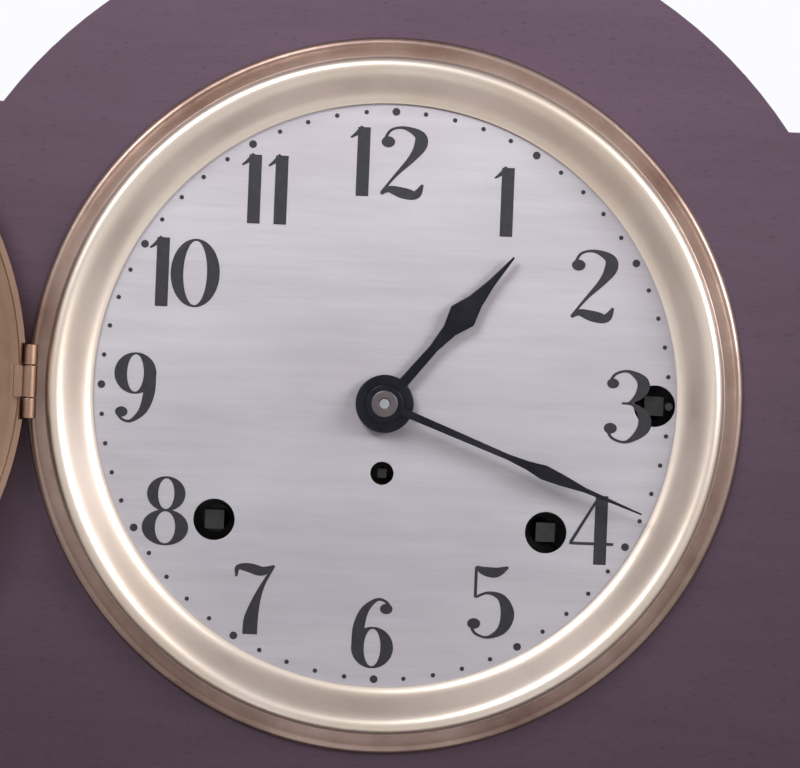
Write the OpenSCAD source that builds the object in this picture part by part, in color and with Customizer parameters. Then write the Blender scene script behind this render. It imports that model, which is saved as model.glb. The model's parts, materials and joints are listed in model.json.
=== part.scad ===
/* [Case] */
// Height of the dial centre above the table
dial_z = 165; // [160:1:172]
// Radius of the round top of the case
arch_r = 116; // [114:1:120]
// Angle above the horizontal at which the round top meets the shoulders
shoulder_angle = 35.4; // [34.6:0.2:38]
// Half width of the case just below the shoulders
shoulder_half_w = 107; // [105:1:110]
// Half width of the case where its sides swell most
case_half_w = 125; // [122:1:130]
// Height at which the sides swell most
widest_z = 60; // [50:1:75]
// Radius of the rounded shoulders
shoulder_r = 10; // [6:1:11]
// Depth of the case without its base
case_depth = 140; // [136:1:160]
// Thickness of the front board
front_t = 14; // [12:1:16]
// Thickness of the bent top and of the side boards
wall_t = 9; // [7:1:9]
// Thickness of the back board
back_t = 8; // [6:1:10]

/* [Base] */
// Thickness of the moulded base board
base_t = 22; // [18:1:26]
// How far the base board stands out past the cove moulding
base_lip = 8; // [7:0.5:12]
// Radius of the rounding along the top edge of the base board
base_round = 5; // [3:0.5:5.5]
// Width of the cove moulding round the foot of the case
trim_w = 8; // [6:0.5:10]
// Height of the cove moulding
trim_h = 8; // [6:0.5:10]

/* [Dial] */
// Width of the brass surround, from the dial it shows to its outer edge
surround_w = 15.9; // [15.6:0.1:17.4]
// Width of the lip of the surround outside the glazed door
lip_w = 2.2; // [2:0.1:3]
// Overlap of the surround on the edge of the dial plate
dial_cover = 3.2; // [3:0.1:4]
// Inner edge radius of the brass surround, where the dial shows
sight_r = 70.3; // [69.5:0.1:71]
// Height of the polished bead of the surround
bead_h = 7.2; // [6.4:0.1:7.4]
// Thickness of the dial plate
dial_t = 1; // [0.8:0.1:1.2]
// Radius of the three winding holes
key_hole_r = 5; // [4.6:0.1:5.4]
// Radius of the hole for the regulating arbor
regulator_hole_r = 2.8; // [2.5:0.1:3.2]
// Minutes past one that the hands show
minutes = 18.5; // [0:0.5:59.5]
// Length of the hour hand
hour_hand_l = 47; // [42:0.5:52]
// Length of the minute hand
minute_hand_l = 67; // [60:0.5:68]

/* [Bezel door] */
// How far the glazed door stands open
bezel_open = 170; // [60:5:170]
// Thickness of the glass
glass_t = 1.5; // [1.2:0.1:1.6]
// Rise of the domed glass
glass_rise = 5; // [3:0.5:6]

/* [Movement] */
// Drop of the hands' arbor below the middle of the dial
hand_drop = 2; // [0:0.1:2.2]
// Thickness of the two brass plates
plate_t = 2; // [1.8:0.1:2.2]
// Distance between the plates
plate_gap = 36; // [36:0.5:38]
// Half width of the plates
plate_half_w = 80; // [79:0.5:81.5]
// Top of the plates above the dial centre
plate_up = 56; // [55.5:0.5:56.5]
// Bottom of the plates below the dial centre
plate_down = 62; // [61:0.5:66]
// Thickness of the straps that hold the movement to the front board
strap_t = 3; // [2.8:0.1:3.4]
// Sideways distance of the time and strike arbors from the middle of the dial
winding_x = 40; // [39.5:0.1:40.3]
// Drop of the time and strike arbors below the middle of the dial
winding_drop = 31.5; // [31:0.1:32]
// Sideways distance of the chime arbor from the middle of the dial
chime_x = 65; // [64.6:0.1:65.4]
// Drop of the regulating arbor below the hands' arbor
regulator_drop = 16.8; // [16.4:0.1:17.2]
// Radius of the spring barrels
barrel_r = 21; // [19:0.5:22]
// Length of the spring barrels
barrel_l = 13; // [11:0.5:13]
// Radius of the winding arbors
arbor_r = 3.5; // [3:0.1:3.8]
// Height of the escape wheel above the hands' arbor
escape_up = 33; // [32:0.5:34]
// Radius of the escape wheel
escape_r = 9; // [8:0.5:9.5]
// Clearance of a turning shaft in its hole
running_gap = 0.06; // [0.03:0.01:0.09]

/* [Pendulum] */
// Height of the pendulum pivot above the hands' arbor
pivot_up = 45.5; // [45:0.5:47]
// Distance of the pendulum behind the back plate
pendulum_back = 8; // [7:0.5:9]
// Length from the pivot to the middle of the bob
pendulum_l = 107; // [100:1:110]
// Radius of the bob
bob_r = 17; // [14:0.5:18]
// Half thickness of the bob
bob_half_t = 4.5; // [3.5:0.5:5]

/* [Chime rods] */
// Radius of the chime rods
rod_r = 1.5; // [1.2:0.1:1.8]
// Height of the chime rods above the table
rod_z = 95; // [90:1:98]
// Length of the longest chime rod
rod_l = 176; // [160:2:184]
// Space between the hammer frame and the back board
frame_room = 10; // [8:0.5:12]
// Space between the side board and the block of the chime rods
block_room = 11; // [8:1:14]
// Rise of the hammers above the rods at rest
hammer_gap = 2.5; // [1.5:0.5:4]

/* [Back door] */
// Half width of the opening in the back board
door_half_w = 70; // [66:1:72]
// Bottom of the opening above the table
door_z = 62; // [56:1:70]
// Thickness of the door
door_t = 6; // [4:0.5:6]
// Gap round the door
door_gap = 1; // [0.6:0.1:1.4]

/* [Hidden] */
$fn = 96;

mahogany = "#5a4650";
dark_wood = "#4a3a40";
brass = "#c8b49c";
steel = "#9aa0a6";
blued = "#1c1f28";
silvered = "#c6c2c8";

// The dial opening of the front board and the outlines of the surround and of the glazed door
opening_r = sight_r + dial_cover;
ring_r = sight_r + surround_w;
bezel_r = ring_r - lip_w;

// Levels from the table up and from front to back
base_top = base_t;
front_y = -case_depth / 2;
back_y = case_depth / 2;
board_y = front_y + front_t;
inner_back_y = back_y - back_t;
shoulder_x = arch_r * cos(shoulder_angle);
shoulder_z = dial_z + arch_r * sin(shoulder_angle);
fit = 0.05;
touch = 0.3;

// The swelling sides are arcs through the widest point and the foot of the shoulder
side_rise = shoulder_z - widest_z;
side_reach = (pow(side_rise, 2) - pow(case_half_w, 2) + pow(shoulder_half_w, 2))
    / (2 * (case_half_w - shoulder_half_w));
side_arc_r = side_reach + case_half_w;
function side_x(z) = sqrt(pow(side_arc_r, 2) - pow(z - widest_z, 2)) - side_reach;

// Draws a flat shape in the front view and gives it depth t behind y
module slab(y, t) translate([0, y + t, 0]) rotate([90, 0, 0]) linear_extrude(t) children();
// A shaft along the depth, from y0 back to y1
module shaft(r, y0, y1) translate([0, y1, 0]) rotate([90, 0, 0]) cylinder(r = r, h = y1 - y0);
// Turns a profile of (radius, height towards the front) about the depth axis at plane y
module turned(y) translate([0, y, 0]) rotate([90, 0, 0]) rotate_extrude() children();
// Moves to a point of the dial, given from its centre
module at(p) translate([p[0], 0, dial_z + p[1]]) children();
module both_sides() for (side = [-1, 1]) scale([side, 1, 1]) children();

// The part of the shoulder that its rounding takes away
module shoulder_cut(inset) {
    r = max(shoulder_r - inset, 0.5);
    top = shoulder_z - inset;
    x = sqrt(pow(side_arc_r - inset - r, 2) - pow(top - r - widest_z, 2)) - side_reach;
    lean = atan2(top - r - widest_z, x + side_reach);
    turn = 90 - lean;
    arc = [for (i = [0 : 6]) [x, top - r] + r * [cos(90 - turn * i / 6), sin(90 - turn * i / 6)]];
    polygon(concat(arc, [[x + 3 * r, top - r], [x + 3 * r, top + r], [x, top + r]]));
}

module case_outline(inset = 0) {
    translate([0, dial_z]) circle(r = arch_r - inset, $fn = 180);
    difference() {
        intersection() {
            translate([-side_reach, widest_z]) circle(r = side_arc_r - inset, $fn = 720);
            translate([side_reach, widest_z]) circle(r = side_arc_r - inset, $fn = 720);
            translate([-case_half_w, base_top])
                square([2 * case_half_w, shoulder_z - inset - base_top]);
        }
        shoulder_cut(inset);
        mirror([1, 0]) shoulder_cut(inset);
    }
}

module case_band() {
    difference() {
        case_outline();
        case_outline(wall_t);
    }
}

// The front view's half to the right of the middle, below the seam with the bent top
module below_shoulder() translate([0, base_top]) square([case_half_w, shoulder_z - base_top]);

/* Base */
trim_x = side_x(base_top + trim_h) + fit;
base_half_w = trim_x + trim_w + base_lip;
base_front = front_y - trim_w - base_lip;
base_back = back_y + 4;

// Half of the base board seen from the end: plinth, quarter round and fillet, out to w
module base_profile(w) {
    low = base_t - base_round - 1.5;
    square([w, low]);
    square([w - base_round - 1, base_t - 1.5]);
    square([w - base_round - 1.5, base_t]);
    intersection() {
        translate([w - base_round - 1, low]) circle(r = base_round);
        translate([0, low]) square([w, base_round]);
    }
}

module base_board() {
    color(dark_wood) intersection() {
        translate([0, base_back, 0]) rotate([90, 0, 0]) linear_extrude(base_back - base_front) {
            base_profile(base_half_w);
            mirror([1, 0]) base_profile(base_half_w);
        }
        translate([-base_half_w, 0, 0]) rotate([90, 0, 90]) linear_extrude(2 * base_half_w) {
            square([base_back, base_t]);
            mirror([1, 0]) base_profile(-base_front);
        }
    }
}

module trim_profile() {
    difference() {
        square([trim_w, trim_h]);
        translate([trim_w, trim_h]) circle(r = min(trim_w, trim_h) - 1.5);
    }
}

// Front run with mitred ends, then one run along each side
module base_moulding() {
    outer = trim_x + trim_w;
    color(dark_wood) {
        intersection() {
            translate([-outer, front_y, base_top]) rotate([90, 0, 90])
                linear_extrude(2 * outer) mirror([1, 0]) trim_profile();
            translate([0, 0, base_top]) linear_extrude(trim_h) polygon([
                [-outer, front_y - trim_w], [outer, front_y - trim_w], [trim_x, front_y],
                [-trim_x, front_y]
            ]);
        }
        for (side = [0, 1]) mirror([side, 0, 0]) intersection() {
            translate([trim_x, back_y, base_top]) rotate([90, 0, 0])
                linear_extrude(case_depth + trim_w) trim_profile();
            translate([0, 0, base_top]) linear_extrude(trim_h) polygon([
                [outer, front_y - trim_w], [outer, back_y], [trim_x, back_y], [trim_x, front_y]
            ]);
        }
    }
}

/* Case */
strap_w = 13;
strap_x = plate_half_w - 25;
strap_in = 13;
strap_out = 14;
wood_screw_r = 1.8;
wood_screw_l = 12;
// Straps as side, direction up or down, and the edge of the plate that each one crosses
strap_ends = [for (sx = [-1, 1]) for (e = [[1, plate_up], [-1, plate_down]]) [sx, e[0], e[1]]];
// The middle line of a strap, a distance beyond the edge of the plate
function on_strap(e, beyond) = [e[0] * strap_x, e[1] * (e[2] + beyond)];

module case_front() {
    color(mahogany) difference() {
        slab(front_y, front_t) case_outline();
        at([0, 0]) shaft(opening_r, front_y - 1, board_y + 1);
        for (e = strap_ends) at(on_strap(e, strap_out / 2))
            shaft(wood_screw_r + fit, board_y + strap_t - wood_screw_l - 1, board_y + 1);
    }
}

module case_side_right() {
    color(mahogany) slab(board_y, inner_back_y - board_y) intersection() {
        case_band();
        below_shoulder();
    }
}

module case_side_left() mirror([1, 0, 0]) case_side_right();

module case_top() {
    color(mahogany) slab(board_y, inner_back_y - board_y) intersection() {
        case_band();
        translate([-arch_r, shoulder_z]) square([2 * arch_r, arch_r]);
    }
}

/* Back board and its door */
knuckle_r = 1.8;
hinge_pin_r = 0.9;
hinge_l = 24;
leaf_t = 0.8;
leaf_w = 13;
door_axis = [door_half_w - door_gap / 2, back_y + knuckle_r];
hinge_heights = [door_z + 28, dial_z - 8];
latch_z = dial_z - 45;
latch_x = -door_half_w - 8;
latch_half_l = 13;
latch_half_w = 4;
latch_t = 2;
latch_screw_r = 1.5;

module door_shape(inset) {
    translate([0, dial_z]) circle(r = door_half_w - inset);
    translate([-door_half_w + inset, door_z + inset])
        square([2 * (door_half_w - inset), dial_z - door_z - inset]);
}

module back_panel() {
    color(mahogany) difference() {
        slab(inner_back_y, back_t) difference() {
            case_outline();
            door_shape(0);
        }
        translate([latch_x, 0, latch_z]) shaft(latch_screw_r + fit, back_y - 5, back_y + 1);
    }
}

sound_hole_r = 5;
module back_door() {
    color(mahogany) slab(back_y - door_t, door_t) difference() {
        door_shape(door_gap);
        translate([0, dial_z]) {
            circle(r = sound_hole_r);
            for (ring = [1, 2]) for (i = [0 : 6 * ring - 1])
                rotate(i * 60 / ring) translate([18 * ring, 0]) circle(r = sound_hole_r);
        }
    }
}

// One leaf with its knuckle, reaching from the door axis towards side
module hinge_leaf(side, low, high) {
    difference() {
        union() {
            translate([door_axis[0], door_axis[1], low]) cylinder(r = knuckle_r, h = high - low);
            translate([door_axis[0] + (side > 0 ? 0 : -leaf_w), back_y, low])
                cube([leaf_w, leaf_t, high - low]);
        }
        translate([door_axis[0], door_axis[1], low - 1])
            cylinder(r = hinge_pin_r + running_gap, h = high - low + 2);
    }
}

module back_hinges() {
    color(brass) for (z = hinge_heights) {
        hinge_leaf(1, z - hinge_l / 2, z - hinge_l / 6);
        hinge_leaf(1, z + hinge_l / 6, z + hinge_l / 2);
        translate([door_axis[0], door_axis[1], z - hinge_l / 2 - 1])
            cylinder(r = hinge_pin_r, h = hinge_l + 2);
        for (end = [z - hinge_l / 2 - 1, z + hinge_l / 2])
            translate([door_axis[0], door_axis[1], end]) cylinder(r = knuckle_r - 0.2, h = 1);
    }
}

module back_door_leaves() {
    color(brass) for (z = hinge_heights)
        hinge_leaf(-1, z - hinge_l / 6 + 0.2, z + hinge_l / 6 - 0.2);
}

module back_latch() {
    color(brass) translate([latch_x, 0, latch_z]) difference() {
        union() {
            slab(back_y + fit, latch_t)
                square([2 * latch_half_w, 2 * (latch_half_l - latch_half_w)], center = true);
            for (end = [-1, 1])
                translate([0, 0, end * (latch_half_l - latch_half_w)])
                    shaft(latch_half_w, back_y + fit, back_y + fit + latch_t);
        }
        shaft(latch_screw_r + running_gap, back_y - 1, back_y + latch_t + 1);
    }
}

/* Dial and its surround */
dial_y = front_y + 1;
dial_plate_r = opening_r - 0.3;
bead_in = sight_r + 5.2;
bead_out = bezel_r - 3.1;
bead_mid = (bead_in + bead_out) / 2;
flange_h = 1.2;

module dial_ring() {
    color(brass) at([0, 0]) turned(front_y) polygon([
        [sight_r, -0.9], [opening_r - 0.1, -0.9], [opening_r - 0.1, 0], [ring_r, 0],
        [ring_r, 1], [ring_r - 0.6, 1.6], [bezel_r + 0.9, 1.6], [bezel_r + 0.4, flange_h],
        [bead_out + 0.1, flange_h], [bead_out, bead_h - 2.6], [bead_out - 0.5, bead_h - 1.2],
        [bead_out - 1.3, bead_h - 0.3], [bead_mid, bead_h], [bead_in + 1.4, bead_h - 0.3],
        [bead_in + 0.5, bead_h - 1.1], [bead_in, bead_h - 2.2], [bead_in - 0.3, bead_h - 3.2],
        [sight_r + 3.6, 2.2], [sight_r + 2, 0.7], [sight_r, -0.3]
    ]);
}

time_p = [winding_x, -winding_drop];
strike_p = [-winding_x, -winding_drop];
chime_p = [chime_x, 0];
centre_p = [0, -hand_drop];
regulator_p = centre_p - [0, regulator_drop];
hour_pipe_r = 3.6;
dial_posts = [[-45, 40], [45, 40], [0, -57]];

module dial_plate() {
    color(silvered) {
        difference() {
            at([0, 0]) shaft(dial_plate_r, dial_y, dial_y + dial_t);
            for (p = [time_p, strike_p, chime_p]) at(p) shaft(key_hole_r, dial_y - 1, dial_y + 3);
            at(regulator_p) shaft(regulator_hole_r, dial_y - 1, dial_y + 3);
            at(centre_p) shaft(hour_pipe_r + 0.8, dial_y - 1, dial_y + 3);
        }
        for (p = dial_posts) at(p) shaft(2, dial_y + dial_t + fit, plate_y);
    }
}

/* Glazed bezel door, drawn shut and then swung open */
bezel_axis = [-bezel_r - 1, front_y - 5.5];
bezel_low = 2.5;
bezel_high = 10;
bezel_wall = 1.4;
bezel_half_l = 8.8;
bezel_knuckle = 3.7;
glass_r = bezel_r - 9.6;
glass_seat = 7.6;
glass_edge = glass_seat - 0.5;
glass_out_r = (pow(glass_r, 2) + pow(glass_rise, 2)) / (2 * glass_rise);

module swung_open()
    translate([bezel_axis[0], bezel_axis[1], 0]) rotate([0, 0, -bezel_open])
        translate([-bezel_axis[0], -bezel_axis[1], 0]) children();

// A block given by its span across, its span in height above the front board, and half its length
module hinge_block(x0, x1, h0, h1, z0, z1)
    translate([x0, front_y - h1, dial_z + z0]) cube([x1 - x0, h1 - h0, z1 - z0]);

module bezel_barrel(r, z0, z1)
    translate([bezel_axis[0], bezel_axis[1], dial_z + z0]) cylinder(r = r, h = z1 - z0);

module bezel_ring() {
    inner = bezel_r - bezel_wall;
    color(brass) swung_open() {
        difference() {
            union() {
                difference() {
                    at([0, 0]) turned(front_y) polygon([
                        [bezel_r, bezel_low], [bezel_r, 7.6], [bezel_r - 1, 9.2],
                        [bezel_r - 3.5, bezel_high], [bezel_r - 7.5, bezel_high],
                        [bezel_r - 11, 9.2], [bezel_r - 12.5, 8], [bezel_r - 12.5, glass_seat],
                        [glass_r + 0.4, glass_seat], [glass_r + 0.4, 8.2],
                        [bezel_r - 7.5, 8.8], [bezel_r - 3.5, 8.8], [inner, 8], [inner, bezel_low]
                    ]);
                    hinge_block(-bezel_r - 2, -bezel_r + 1.5, 2, 8, -9.1, 9.1);
                    hinge_block(-bezel_r - 2, -bezel_r + 0.8, 2, 11, -9.1, 9.1);
                }
                bezel_barrel(knuckle_r, -bezel_knuckle, bezel_knuckle);
                hinge_block(-bezel_r - 0.2, -bezel_r + 2.7, 4.9, 8.6,
                    -bezel_knuckle, bezel_knuckle);
                hinge_block(bezel_r - 1, bezel_r + 4, 3.2, 4.2, -4, 4);
            }
            bezel_barrel(hinge_pin_r + running_gap, -bezel_half_l, bezel_half_l);
        }
    }
}

module bezel_hinge() {
    color(brass) {
        difference() {
            union() for (side = [0, 1]) translate([0, 0, dial_z]) mirror([0, 0, side])
                translate([0, 0, -dial_z]) {
                    bezel_barrel(knuckle_r, bezel_knuckle + 0.3, bezel_half_l);
                    hinge_block(bezel_axis[0] - 0.9, bezel_axis[0] + 0.9, 1.6, 5,
                        bezel_knuckle + 0.3, bezel_half_l);
                    hinge_block(bezel_axis[0] - 1.3, bezel_axis[0] + 0.9, 1.6, 2, 0, bezel_half_l);
                }
            bezel_barrel(hinge_pin_r, -bezel_half_l - 1, bezel_half_l + 1);
        }
        bezel_barrel(hinge_pin_r, -bezel_half_l, bezel_half_l);
    }
}

module bezel_glass() {
    color("#dfe8ea", 0.35) swung_open() at([0, 0]) intersection() {
        shaft(glass_r, front_y - bezel_high - glass_rise, front_y);
        translate([0, front_y - glass_edge - glass_rise + glass_out_r, 0]) difference() {
            sphere(r = glass_out_r, $fn = 360);
            sphere(r = glass_out_r - glass_t, $fn = 360);
        }
    }
}

module glass_retainer() {
    color(brass) swung_open() at([0, 0]) difference() {
        shaft(glass_r + 0.35, front_y - glass_edge + glass_t + 0.15,
            front_y - glass_edge + glass_t + 1.05);
        shaft(glass_r - 1.6, front_y - 20, front_y + 20);
    }
}

/* Movement frame */
plate_y = board_y + strap_t;
between_y = plate_y + plate_t;
rear_y = between_y + plate_gap;
behind_y = rear_y + plate_t;
pillar_r = 3.5;
stud_r = 2;
pillar_points = [
    for (sx = [-1, 1]) for (z = [plate_up - 6, -plate_down + 6]) [sx * (plate_half_w - 6), z]
];

// Wheel teeth counts and their modules
great_teeth = 84;
second_pinion = 12;
great_m = 0.6;
second_teeth = 80;
centre_pinion = 10;
second_m = 0.5;
centre_teeth = 96;
third_pinion = 8;
centre_m = 0.36;
third_teeth = 100;
escape_pinion = 8;
third_m = 0.32;
cannon_teeth = 12;
minute_teeth = 36;
cannon_m = 0.5;
minute_pinion = 10;
hour_teeth = 40;
hour_m = 0.48;
strike_teeth = 72;
fly_pinion = 10;
drum_pinion = 12;

function reach(m, a, b) = m * (a + b) / 2;
// The point at distance ra from a and rb from b, to the left on the way from a to b
function meet(a, b, ra, rb) =
    let (d = norm(b - a), u = (b - a) / d, k = (ra * ra - rb * rb + d * d) / (2 * d))
    a + k * u + sqrt(ra * ra - k * k) * [-u[1], u[0]];
function bearing(a, b) = atan2(b[1] - a[1], b[0] - a[0]);
function polar(r, angle) = r * [cos(angle), sin(angle)];
// The turn that puts a gap of the second gear on a tooth of the first
function mesh_turn(first_turn, first_teeth, angle, teeth) =
    let (n = (angle - first_turn) * first_teeth / 360)
    angle + 180 + (n - floor(n) + 0.5) * 360 / teeth;

great_reach = reach(great_m, great_teeth, second_pinion);
second_p = meet(centre_p, time_p, reach(second_m, second_teeth, centre_pinion), great_reach);
escape_p = centre_p + [0, escape_up];
third_p = meet(centre_p, escape_p, reach(centre_m, centre_teeth, third_pinion),
    reach(third_m, third_teeth, escape_pinion));
verge_p = centre_p + [0, pivot_up];
minute_p = centre_p - [reach(cannon_m, cannon_teeth, minute_teeth), 0];
strike_second_p = strike_p + polar(great_reach, 75);
fly_p = strike_second_p + polar(reach(second_m, strike_teeth, fly_pinion), 100);
chime_second_p = chime_p + polar(great_reach, 115);
drum_p = chime_second_p + polar(reach(second_m, strike_teeth, drum_pinion), 200);
chime_axis = [56, -4];
strike_axis = [-56, -4];

pivot_r = 0.8;
fine_r = 0.55;
thin_r = 1.2;
centre_arbor_r = 1.5;
hammer_arbor_r = 1.5;
rear_arbor_r = 2;
wheel_t = 1.5;

// Flat-sided wheel teeth, cut deep so that they run freely, and the narrower leaves of a pinion
module toothed(teeth, m, turn, addendum, dedendum, root, flank, tip) {
    pitch = 360 / teeth;
    steps = [
        [teeth / 2 - dedendum, -root], [teeth / 2, -flank], [teeth / 2 + addendum, -tip],
        [teeth / 2 + addendum, tip], [teeth / 2, flank], [teeth / 2 - dedendum, root]
    ];
    polygon([for (i = [0 : teeth - 1]) for (s = steps) polar(m * s[0], turn + (i + s[1]) * pitch)]);
}
module wheel(teeth, m, turn) toothed(teeth, m, turn, 1, 1.45, 0.22, 0.2, 0.05);
module pinion(teeth, m, turn) toothed(teeth, m, turn, 0.75, 1.35, 0.19, 0.17, 0.08);

// Spokes left when a wheel is crossed out
module crossed(outer, inner, spokes = 5, w = 2.2) {
    difference() {
        circle(r = outer);
        circle(r = inner);
        for (i = [0 : spokes - 1]) rotate(i * 360 / spokes + 90)
            translate([0, -w / 2]) square([outer + 1, w]);
    }
}

train_pivots = [
    [second_p, pivot_r], [third_p, fine_r], [escape_p, fine_r], [strike_second_p, pivot_r],
    [fly_p, pivot_r], [chime_second_p, pivot_r]
];

module plate_shape() translate([-plate_half_w, dial_z - plate_down])
    square([2 * plate_half_w, plate_up + plate_down]);

module plate_drilling(y, through) {
    for (p = pillar_points) at(p) shaft(stud_r + fit, y - 1, y + plate_t + 1);
    for (p = train_pivots) at(p[0]) shaft(p[1] + running_gap, y - 1, y + plate_t + 1);
    for (p = through) at(p[0]) shaft(p[1] + running_gap, y - 1, y + plate_t + 1);
}

minute_stud_r = 1;
module front_plate() {
    color(brass) {
        difference() {
            slab(plate_y, plate_t) plate_shape();
            plate_drilling(plate_y, [
                [centre_p, centre_arbor_r], [time_p, arbor_r], [strike_p, arbor_r],
                [chime_p, arbor_r], [regulator_p, thin_r], [verge_p, pivot_r], [drum_p, pivot_r],
                [strike_axis, pivot_r]
            ]);
            for (e = strap_ends) at(on_strap(e, -strap_in / 2))
                shaft(screw_r + fit, plate_y - 1, between_y + 1);
        }
        at(minute_p) shaft(minute_stud_r, plate_y - 9.4, plate_y);
    }
}

module back_plate() {
    color(brass) difference() {
        slab(rear_y, plate_t) plate_shape();
        plate_drilling(rear_y, [
            [centre_p, pivot_r], [time_p, rear_arbor_r], [strike_p, rear_arbor_r],
            [chime_p, rear_arbor_r], [verge_p, thin_r], [drum_p, thin_r],
            [strike_axis, hammer_arbor_r], [chime_axis, hammer_arbor_r]
        ]);
    }
}

// Four pillars between the plates, and the two posts that carry the hammer frame
nut_t = 3;
post_x = plate_half_w - 18;
post_z = 20;
post_edge = 6;
post_points = [for (side = [-1, 1]) [side * post_x, post_z]];
module pillars() {
    color(brass) {
        for (p = pillar_points) at(p) {
            shaft(pillar_r, between_y, rear_y);
            shaft(stud_r, plate_y, between_y);
            shaft(stud_r, rear_y, behind_y + nut_t + 1);
        }
        for (p = post_points) at(p) {
            shaft(pillar_r - 0.5, behind_y, frame_y);
            shaft(stud_r, frame_y, frame_y + frame_t + nut_t + 0.5);
        }
    }
}

screw_r = 1.4;
module movement_straps() {
    color(steel) for (e = strap_ends) difference() {
        at([0, 0]) scale([e[0], 1, e[1]])
            translate([strap_x - strap_w / 2, board_y, e[2] - strap_in])
                cube([strap_w, strap_t, strap_in + strap_out]);
        at(on_strap(e, strap_out / 2)) shaft(wood_screw_r + fit, board_y - 1, plate_y + 1);
        at(on_strap(e, -strap_in / 2)) shaft(screw_r + fit, board_y - 1, plate_y + 1);
    }
}

module plate_nut(y) difference() {
    slab(y, nut_t) circle(r = 2 * stud_r, $fn = 6);
    shaft(stud_r + fit, y - 1, y + nut_t + 1);
}

module fasteners() {
    color(steel) {
        for (e = strap_ends) {
            at(on_strap(e, strap_out / 2)) {
                shaft(wood_screw_r, plate_y - wood_screw_l, plate_y);
                shaft(wood_screw_r + 1.7, plate_y, plate_y + 1.5);
            }
            at(on_strap(e, -strap_in / 2)) {
                shaft(screw_r, board_y + 0.2, between_y);
                shaft(screw_r + 1.6, between_y, between_y + 1.5);
            }
        }
        for (p = pillar_points) at(p) plate_nut(behind_y);
        for (p = post_points) at(p) plate_nut(frame_y + frame_t);
        translate([latch_x, 0, latch_z]) {
            shaft(latch_screw_r, back_y - 4.5, back_y + latch_t + 2 * fit);
            shaft(latch_screw_r + 1.5, back_y + latch_t + 2 * fit, back_y + latch_t + 1.2);
        }
    }
}

/* Spring barrels and winding arbors */
// Depth behind the front plate at which each barrel starts, and whether its wheel is at the rear
barrel_wall = 1.2;
great_t = 2;
front_barrel_d = 2;
rear_barrel_d = plate_gap - 2 - great_t - barrel_l;
core_r = arbor_r + 1.5;

module spring_barrel(start, wheel_behind, turn) {
    wheel_start = wheel_behind ? start + barrel_l : start;
    drum = wheel_behind ? start : start + great_t;
    cap = wheel_behind ? drum : drum + barrel_l - barrel_wall;
    color(brass) difference() {
        union() {
            slab(between_y + wheel_start, great_t) wheel(great_teeth, great_m, turn);
            shaft(barrel_r, between_y + drum, between_y + drum + barrel_l);
        }
        shaft(barrel_r - barrel_wall, between_y + (wheel_behind ? drum + barrel_wall : drum),
            between_y + drum + barrel_l - (wheel_behind ? 0 : barrel_wall));
        shaft(arbor_r + running_gap, between_y, rear_y);
    }
}

spring_turns = 7;
spring_strip = 0.8;
module mainspring(start, wheel_behind) {
    low = core_r + 0.35;
    high = barrel_r - barrel_wall - 0.4;
    step = 15;
    angles = [0 : step : 360 * spring_turns];
    function at_turn(a) = low + (high - spring_strip - low) * a / (360 * spring_turns);
    inside = [for (a = angles) polar(at_turn(a), a)];
    outside = [for (a = angles) polar(at_turn(360 * spring_turns - a) + spring_strip,
        360 * spring_turns - a)];
    color(steel) slab(between_y + start + (wheel_behind ? 1.8 : great_t + 0.6), barrel_l - 2.6)
        polygon(concat(inside, outside));
}

square_half = 2.3;
square_y = dial_y + 2.4;
ratchet_r = 10;
module winding_arbor(start, wheel_behind) {
    core = between_y + start + (wheel_behind ? barrel_wall : great_t) + 0.2;
    core_end = core + barrel_l - barrel_wall - 0.4;
    color(steel) {
        slab(square_y, plate_y - 4 - square_y) square(2 * square_half, center = true);
        shaft(arbor_r, plate_y - 5, between_y + start + great_t + barrel_l + 0.3);
        shaft(core_r, core, core_end);
        shaft(rear_arbor_r + 0.5, between_y + start + great_t + barrel_l + 0.2, rear_y - 0.1);
        shaft(rear_arbor_r, rear_y - 0.2, behind_y + 0.4);
        slab(plate_y - 2.2, 1.6) polygon([
            for (i = [0 : 23]) for (s = [[0, 0], [0.1, -1.4]])
                polar(ratchet_r + s[1], (i + s[0]) * 15)
        ]);
    }
}

module time_barrel() at(time_p) spring_barrel(front_barrel_d, false, 0);
module time_mainspring() at(time_p) mainspring(front_barrel_d, false);
module time_arbor() at(time_p) winding_arbor(front_barrel_d, false);
module strike_barrel() at(strike_p) spring_barrel(front_barrel_d, false, 0);
module strike_mainspring() at(strike_p) mainspring(front_barrel_d, false);
module strike_arbor() at(strike_p) winding_arbor(front_barrel_d, false);
module chime_barrel() at(chime_p) spring_barrel(rear_barrel_d, true, 0);
module chime_mainspring() at(chime_p) mainspring(rear_barrel_d, true);
module chime_arbor() at(chime_p) winding_arbor(rear_barrel_d, true);

/* Wheels of the trains */
// A crossed-out wheel and its pinion on one arbor, with depths counted from the front plate
module wheel_work(teeth, m, wheel_d, wheel_turn, leaves, pinion_m, pinion_d, pinion_l, pinion_turn,
    hub = 3, thick = wheel_t) {
    rim = m * (teeth / 2 - 1.45);
    color(brass) slab(between_y + wheel_d, thick) difference() {
        wheel(teeth, m, wheel_turn);
        crossed(rim - 1.6, hub);
    }
    color(steel) slab(between_y + pinion_d, pinion_l) pinion(leaves, pinion_m, pinion_turn);
}

// An arbor between the plates with its two pivots
module arbor(r = thin_r, pivot = pivot_r) {
    color(steel) {
        shaft(r, between_y + 0.15, rear_y - 0.15);
        shaft(pivot, plate_y + 0.2, behind_y - 0.2);
    }
}

great_d = front_barrel_d;
second_wheel_d = front_barrel_d + great_t + barrel_l + 3;
centre_wheel_d = second_wheel_d + 6;
third_wheel_d = centre_wheel_d + 5;
escape_d = 14;

module time_second_wheel() at(second_p) {
    wheel_work(second_teeth, second_m, second_wheel_d, 0, second_pinion, great_m, great_d - 0.8,
        great_t + 1.6, mesh_turn(0, great_teeth, bearing(time_p, second_p), second_pinion));
    arbor();
}

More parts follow.
